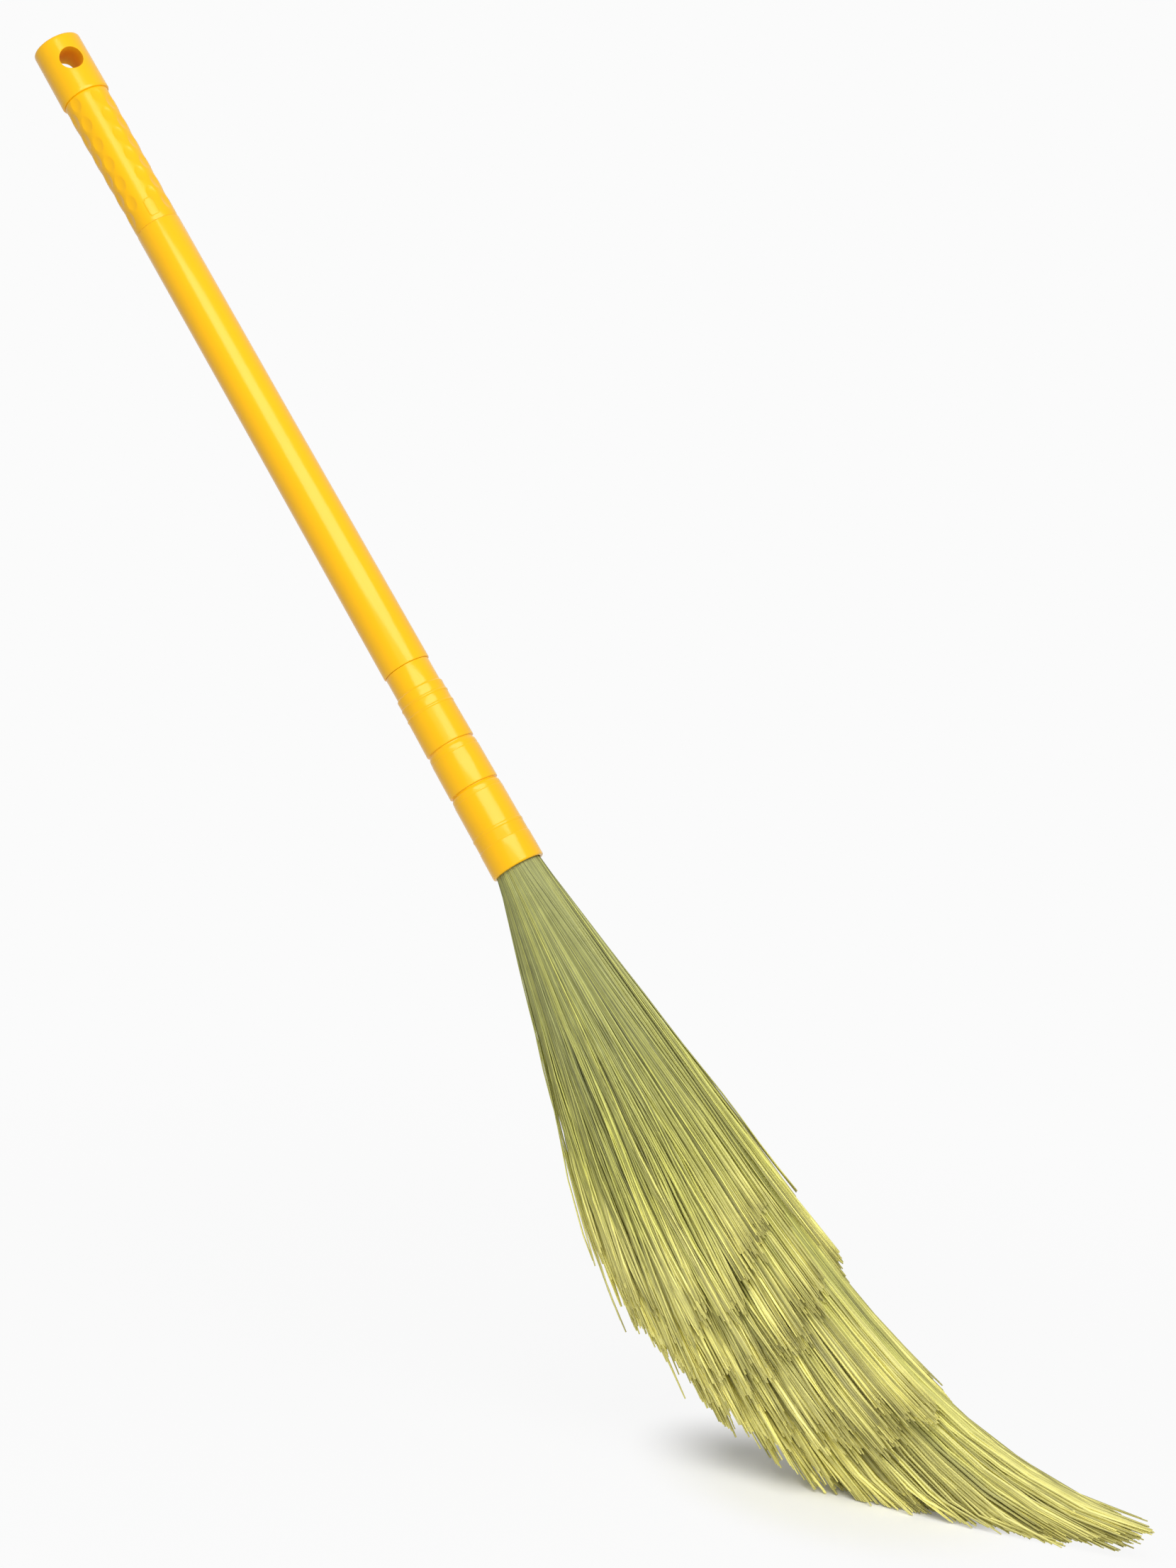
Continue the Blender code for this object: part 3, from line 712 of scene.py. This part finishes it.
    trial = np.linspace(0, 1, touch_trials)[None, :] * wanted[:, None]
    floor_level = -mouth_centre.z + filament_thickness
    below = run(trial)[..., 2] < floor_level
    first_below = np.take_along_axis(trial, below.argmax(axis=1)[:, None], 1)[:, 0]
    touch = np.where(below.any(axis=1), first_below, np.inf)
    length = np.minimum(wanted, touch + lay * (floor_run + toe_floor_run * eased(u, 0.5, 0.8)))
    ring_shares = np.linspace(0, 1, filament_rings)[None, :]
    distance = ring_shares * length[:, None]
    points = run(distance)
    points += np.array(mouth_centre)
    size = filament_size(distance, length[:, None])
    heap = heap_height + toe_heap_height * eased(u, 0.75, 0.95)
    resting = size + (heap * chance.random(count))[:, None] * (distance > touch[:, None])
    points[..., 2] = np.maximum(points[..., 2], resting)
    points[..., 0] = points[..., 0].clip(cad_box[0][0] + size, cad_box[1][0] - size)
    points[..., 1] = points[..., 1].clip(cad_box[0][1] + size, cad_box[1][1] - size)
    share = distance / length[:, None]
    return points, distance, share, size, wide_tufts.tint[wide], fine_tufts.tint[fine]


def ring_corners(points, distance, size):
    """The three corners of every ring of every filament, turned slowly along it."""
    along = np.gradient(points, axis=1)
    along /= np.linalg.norm(along, axis=2, keepdims=True)
    sideways = np.cross(along, np.array([0.0, 1.0, 0.0]))
    sideways /= np.linalg.norm(sideways, axis=2, keepdims=True)
    through = np.cross(sideways, along)
    first_turn = chance.uniform(0, 2 * math.pi, len(points))[:, None] + distance * filament_twist
    corners = []
    for corner in range(3):
        angle = first_turn + corner * 2 * math.pi / 3
        offset = np.cos(angle)[..., None] * sideways + np.sin(angle)[..., None] * through
        corners.append(points + offset * size[..., None])
    return np.stack(corners, axis=2)


# How the tufts and filaments differ in tone and in ripeness, and the yellow streak on the front of the fan
tuft_tone = 0.85
filament_tone = 0.5
# Painted shade: the toe side of the fan is made darker by this much in the filaments' tone.
toe_painted_shade = 0.6
wide_tint_share = 0.6
filament_tint = 0.8
length_ripeness = 0.40
tip_ripeness = 0.60
heel_tip_ripeness = 0.14
streak_place = 0.20
streak_half_width = 0.07
streak_tint = 3.2


def grow_slice(layer, column):
    """Grow one slice of the bundle, ring by ring, from a grid of three-cornered roots."""
    bm = bmesh.new()
    strand_layer = bm.verts.layers.int.new("strand")
    corner_layer = bm.verts.layers.int.new("corner")
    along_layer = bm.verts.layers.float.new("along")
    # The tone of each filament holds its random tone and also the painted shade on the toe side.
    tone_and_shade_layer = bm.verts.layers.float.new("tone_and_painted_shade")
    tint_layer = bm.verts.layers.float.new("tint")
    bmesh.ops.create_grid(bm, x_segments=filaments_across, y_segments=filaments_through, size=1.0)
    bmesh.ops.triangulate(bm, faces=bm.faces, quad_method="ALTERNATE")
    bmesh.ops.split_edges(bm, edges=bm.edges)
    roots = list(bm.faces)
    middles = np.array([face.calc_center_median()[:2] for face in roots])
    u = (2 * column + 1 + middles[:, 0]) / fan_columns - 1
    v = (2 * layer + 1 + middles[:, 1]) / len(fan_layers) - 1
    points, distance, share, size, wide_tint, fine_tint = filament_paths(u, v)
    corners = ring_corners(points, distance, size)
    tone_and_painted_shade = (tuft_tone * fine_tint + filament_tone * chance.normal(0, 1, len(u))).clip(-2, 2)
    # Painted shade: the filaments are darkened towards the toe side of the fan.
    tone_and_painted_shade -= toe_painted_shade * eased(u, -0.1, 0.5)
    tint = wide_tint * wide_tint_share + fine_tint * (1 - wide_tint_share)
    tint += chance.normal(0, filament_tint, len(u))
    ripeness = length_ripeness * distance / toe_length + tip_ripeness * share**3
    ripeness += heel_tip_ripeness * (1 - eased(u, -0.4, 0.2))[:, None] * eased(share, 0.5, 0.9)
    streak = (np.abs(u - streak_place) < streak_half_width) & (v < -0.55)
    tint = np.where(streak, tint + streak_tint, tint)
    for index, face in enumerate(roots):
        for corner, vert in enumerate(face.verts):
            vert[strand_layer] = index
            vert[corner_layer] = corner
            vert[tone_and_shade_layer] = tone_and_painted_shade[index]
            vert[tint_layer] = tint[index]
            vert.co = corners[index, 0, corner]
    plugged = bmesh.ops.extrude_face_region(bm, geom=roots, use_keep_orig=True)
    plugged_verts = [item for item in plugged["geom"] if isinstance(item, bmesh.types.BMVert)]
    up_handle = Vector((-math.sin(handle_lean), 0.0, math.cos(handle_lean)))
    bmesh.ops.translate(bm, verts=plugged_verts, vec=up_handle * hidden_depth)
    growing = roots
    for ring in range(1, filament_rings):
        growing = bmesh.ops.extrude_discrete_faces(bm, faces=growing)["faces"]
        for face in growing:
            for vert in face.verts:
                strand = vert[strand_layer]
                vert.co = corners[strand, ring, vert[corner_layer]]
                vert[along_layer] = ripeness[strand, ring]
    bmesh.ops.recalc_face_normals(bm, faces=bm.faces)
    return bm


bristle_ior = 1.48
bristle_least_roughness, bristle_most_roughness = 0.36, 0.52
root_green = (0.40, 0.41, 0.14, 1.0)
tip_yellow = (0.98, 0.91, 0.31, 1.0)
ripening_colours = ((0.12, (0.46, 0.46, 0.13)), (0.42, (0.63, 0.615, 0.15)), (0.68, (0.82, 0.77, 0.24)))
tint_shift = 0.07
tone_and_shade_swing = 0.22
fleck_scale = 140.0
fleck_dimmest, fleck_brightest = 0.96, 1.07
bristle_plastic = bpy.data.materials.new("grass_bristle_plastic")
bristle_plastic.use_nodes = True
bristle_nodes, bristle_links = bristle_plastic.node_tree.nodes, bristle_plastic.node_tree.links
bristle_shader = bristle_nodes["Principled BSDF"]
bristle_shader.inputs["IOR"].default_value = bristle_ior
bristle_reads = {}
for read_name in ("along", "tone_and_painted_shade", "tint"):
    bristle_reads[read_name] = bristle_nodes.new("ShaderNodeAttribute")
    bristle_reads[read_name].attribute_name = read_name
ripening = bristle_nodes.new("ShaderNodeMath")
ripening.operation = "MULTIPLY_ADD"
ripening.inputs[1].default_value = tint_shift
bristle_links.new(bristle_reads["tint"].outputs["Fac"], ripening.inputs[0])
bristle_links.new(bristle_reads["along"].outputs["Fac"], ripening.inputs[2])
bristle_colours = bristle_nodes.new("ShaderNodeValToRGB")
bristle_ramp = bristle_colours.color_ramp
bristle_ramp.elements[0].position = 0.0
bristle_ramp.elements[0].color = root_green
bristle_ramp.elements[1].position = 1.0
bristle_ramp.elements[1].color = tip_yellow
for stop_place, stop_colour in ripening_colours:
    stop = bristle_ramp.elements.new(stop_place)
    stop.color = (*stop_colour, 1.0)
bristle_links.new(ripening.outputs[0], bristle_colours.inputs["Fac"])
bristle_place = bristle_nodes.new("ShaderNodeTexCoord")
bristle_fleck = bristle_nodes.new("ShaderNodeTexNoise")
bristle_fleck.inputs["Scale"].default_value = fleck_scale
bristle_fleck.inputs["Detail"].default_value = 3.0
bristle_links.new(bristle_place.outputs["Object"], bristle_fleck.inputs["Vector"])
# The filaments' tone, with its painted shade on the toe side, and a faint fleck set their brightness.
bristle_tone_and_shade = bristle_nodes.new("ShaderNodeMath")
bristle_tone_and_shade.operation = "MULTIPLY_ADD"
bristle_tone_and_shade.inputs[1].default_value = tone_and_shade_swing
bristle_links.new(bristle_reads["tone_and_painted_shade"].outputs["Fac"], bristle_tone_and_shade.inputs[0])
fleck_level = bristle_nodes.new("ShaderNodeMapRange")
fleck_level.inputs["From Min"].default_value = noise_low
fleck_level.inputs["From Max"].default_value = noise_high
fleck_level.inputs["To Min"].default_value = fleck_dimmest
fleck_level.inputs["To Max"].default_value = fleck_brightest
bristle_links.new(bristle_fleck.outputs["Fac"], fleck_level.inputs["Value"])
bristle_links.new(fleck_level.outputs["Result"], bristle_tone_and_shade.inputs[2])
bristle_shade = bristle_nodes.new("ShaderNodeHueSaturation")
bristle_links.new(bristle_colours.outputs["Color"], bristle_shade.inputs["Color"])
bristle_links.new(bristle_tone_and_shade.outputs[0], bristle_shade.inputs["Value"])
bristle_links.new(bristle_shade.outputs["Color"], bristle_shader.inputs["Base Color"])
bristle_gloss = bristle_nodes.new("ShaderNodeMapRange")
bristle_gloss.inputs["To Min"].default_value = bristle_least_roughness
bristle_gloss.inputs["To Max"].default_value = bristle_most_roughness
bristle_links.new(bristle_fleck.outputs["Fac"], bristle_gloss.inputs["Value"])
bristle_links.new(bristle_gloss.outputs["Result"], bristle_shader.inputs["Roughness"])

for layer, layer_name in enumerate(fan_layers):
    for column in range(fan_columns):
        slice_name = f"bristles_{layer_name}_{column + 1}"
        slice_node = f"tuft_{layer_name}_{column + 1}"
        slice_mesh = grow_slice(layer, column)
        put_in_broom(slice_name, slice_mesh, bristle_plastic, slice_node, math.pi)


# Studio: a white floor that runs into a white background, and one large softbox high on the right, whose
# reflection is the stripe down the handle. A weaker one beside the camera and the room give an even fill.
white_level = 0.965
floor_half_width = 9.0
floor_drop = 0.0003
floor_colour = (0.97, 0.97, 0.97, 1.0)

# Inside this ellipse under the broom the floor keeps its shadow, and from there it fades to the background
shadow_centre = (0.178, 0.0, 0.0)
shadow_turn = math.radians(-19.0)
shadow_reach = (1.24, 0.68, 8.0)
shadow_fade_stops = ((0.055, 0.10), (0.125, 0.94))

room_colour = (0.98, 0.99, 1.0, 1.0)
room_strength = 0.30


def seen_rays(nodes, links):
    """A mask of the rays that see the white background: straight, or by way of a gloss or a clear piece."""
    ray = nodes.new("ShaderNodeLightPath")
    glossy_too = nodes.new("ShaderNodeMath")
    glossy_too.operation = "MAXIMUM"
    links.new(ray.outputs["Is Camera Ray"], glossy_too.inputs[0])
    links.new(ray.outputs["Is Glossy Ray"], glossy_too.inputs[1])
    clear_too = nodes.new("ShaderNodeMath")
    clear_too.operation = "MAXIMUM"
    links.new(glossy_too.outputs[0], clear_too.inputs[0])
    links.new(ray.outputs["Is Transmission Ray"], clear_too.inputs[1])
    return clear_too.outputs[0]


floor_mesh = bmesh.new()
bmesh.ops.create_grid(floor_mesh, x_segments=1, y_segments=1, size=floor_half_width)
bmesh.ops.translate(floor_mesh, verts=floor_mesh.verts, vec=(0.0, 0.0, -floor_drop))
floor_body = bpy.data.meshes.new("studio_floor")
floor_mesh.to_mesh(floor_body)
floor_mesh.free()
floor = bpy.data.objects.new("studio_floor", floor_body)
bpy.context.scene.collection.objects.link(floor)
floor_paint = bpy.data.materials.new("white_floor")
floor_paint.use_nodes = True
floor_nodes, floor_links = floor_paint.node_tree.nodes, floor_paint.node_tree.links
floor_shader = floor_nodes["Principled BSDF"]
floor_shader.inputs["Base Color"].default_value = floor_colour
floor_shader.inputs["Roughness"].default_value = 0.9
floor_shader.inputs["Specular IOR Level"].default_value = 0.1
floor_out = floor_nodes["Material Output"]
floor_place = floor_nodes.new("ShaderNodeTexCoord")
floor_centre = floor_nodes.new("ShaderNodeMapping")
floor_centre.vector_type = "TEXTURE"
floor_centre.inputs["Location"].default_value = shadow_centre
floor_centre.inputs["Rotation"].default_value = (0.0, 0.0, shadow_turn)
floor_centre.inputs["Scale"].default_value = shadow_reach
floor_links.new(floor_place.outputs["Object"], floor_centre.inputs["Vector"])
floor_reach = floor_nodes.new("ShaderNodeVectorMath")
floor_reach.operation = "LENGTH"
floor_links.new(floor_centre.outputs["Vector"], floor_reach.inputs[0])
floor_fade = floor_nodes.new("ShaderNodeValToRGB")
floor_fade.color_ramp.interpolation = "EASE"
floor_fade.color_ramp.elements[0].color = (0.0, 0.0, 0.0, 1.0)
floor_fade.color_ramp.elements[1].color = (1.0, 1.0, 1.0, 1.0)
for fade_place, fade_level in shadow_fade_stops:
    fade_stop = floor_fade.color_ramp.elements.new(fade_place)
    fade_stop.color = (fade_level, fade_level, fade_level, 1.0)
floor_links.new(floor_reach.outputs["Value"], floor_fade.inputs["Fac"])
floor_seen = floor_nodes.new("ShaderNodeMath")
floor_seen.operation = "MULTIPLY"
floor_links.new(floor_fade.outputs["Color"], floor_seen.inputs[0])
floor_links.new(seen_rays(floor_nodes, floor_links), floor_seen.inputs[1])
floor_glow = floor_nodes.new("ShaderNodeEmission")
floor_glow.inputs["Color"].default_value = (white_level, white_level, white_level, 1.0)
floor_mix = floor_nodes.new("ShaderNodeMixShader")
floor_links.new(floor_seen.outputs[0], floor_mix.inputs["Fac"])
floor_links.new(floor_shader.outputs["BSDF"], floor_mix.inputs[1])
floor_links.new(floor_glow.outputs["Emission"], floor_mix.inputs[2])
floor_links.new(floor_mix.outputs["Shader"], floor_out.inputs["Surface"])
floor_body.materials.append(floor_paint)

studio_air = bpy.data.worlds.new("studio_air")
bpy.context.scene.world = studio_air
studio_air.use_nodes = True
air_nodes, air_links = studio_air.node_tree.nodes, studio_air.node_tree.links
air_nodes.clear()
air_out = air_nodes.new("ShaderNodeOutputWorld")
air_fill = air_nodes.new("ShaderNodeBackground")
air_fill.inputs["Color"].default_value = room_colour
air_fill.inputs["Strength"].default_value = room_strength
air_white = air_nodes.new("ShaderNodeBackground")
air_white.inputs["Color"].default_value = (white_level, white_level, white_level, 1.0)
air_mix = air_nodes.new("ShaderNodeMixShader")
air_links.new(seen_rays(air_nodes, air_links), air_mix.inputs["Fac"])
air_links.new(air_fill.outputs["Background"], air_mix.inputs[1])
air_links.new(air_white.outputs["Background"], air_mix.inputs[2])
air_links.new(air_mix.outputs["Shader"], air_out.inputs["Surface"])


def add_softbox(name, aim, azimuth, elevation, distance, size, roll, radiance):
    """A rectangular softbox that faces the aim from a direction, with its radiance as seen in a mirror."""
    light = bpy.data.lights.new(name, "AREA")
    light.shape = "RECTANGLE"
    light.size, light.size_y = size
    light.energy = radiance * math.pi * size[0] * size[1]
    out = Vector((
        math.cos(elevation) * math.cos(azimuth),
        math.cos(elevation) * math.sin(azimuth),
        math.sin(elevation),
    ))
    lamp = bpy.data.objects.new(name, light)
    lamp.visible_camera = False
    facing = out.to_track_quat("Z", "Y").to_matrix().to_4x4()
    place = Matrix.Translation(Vector(aim) + out * distance)
    lamp.matrix_world = place @ facing @ Matrix.Rotation(roll, 4, "Z")
    bpy.context.scene.collection.objects.link(lamp)


add_softbox(
    "key_softbox",
    aim=(-0.15, 0.0, 0.45),
    azimuth=math.radians(-41.0),
    elevation=math.radians(44.6),
    distance=1.65,
    size=(1.58, 0.96),
    roll=math.radians(-9.2),
    radiance=5.6,
)
add_softbox(
    "front_softbox",
    aim=(0.0, 0.0, 0.40),
    azimuth=math.radians(-58.0),
    elevation=math.radians(18.0),
    distance=2.5,
    size=(1.7, 1.7),
    roll=0.0,
    radiance=0.85,
)


# Camera: one lens and place fitted to the photograph. The focal length and the frame's height are counted in
# the photograph's pixels, and the place is measured from the centre of the ferrule's mouth.
sensor_size = 36.0
focal_pixels = 5000.0
frame_height_pixels = 2212.0
camera_from_mouth = Vector((1.12506, -1.68435, 0.40666))
camera_look = Vector((-0.530897, 0.829454, -0.173648))
scene = bpy.context.scene
scene.view_settings.view_transform = "Standard"
lens_data = bpy.data.cameras.new("photo_camera")
lens_data.sensor_fit = "AUTO"
lens_data.sensor_width = sensor_size
lens_data.lens = sensor_size * focal_pixels / frame_height_pixels
lens_data.shift_x = 0.0008
photo_camera = bpy.data.objects.new("photo_camera", lens_data)
camera_facing = camera_look.to_track_quat("-Z", "Y").to_matrix().to_4x4()
photo_camera.matrix_world = Matrix.Translation(mouth_centre + camera_from_mouth) @ camera_facing
scene.collection.objects.link(photo_camera)
scene.camera = photo_camera
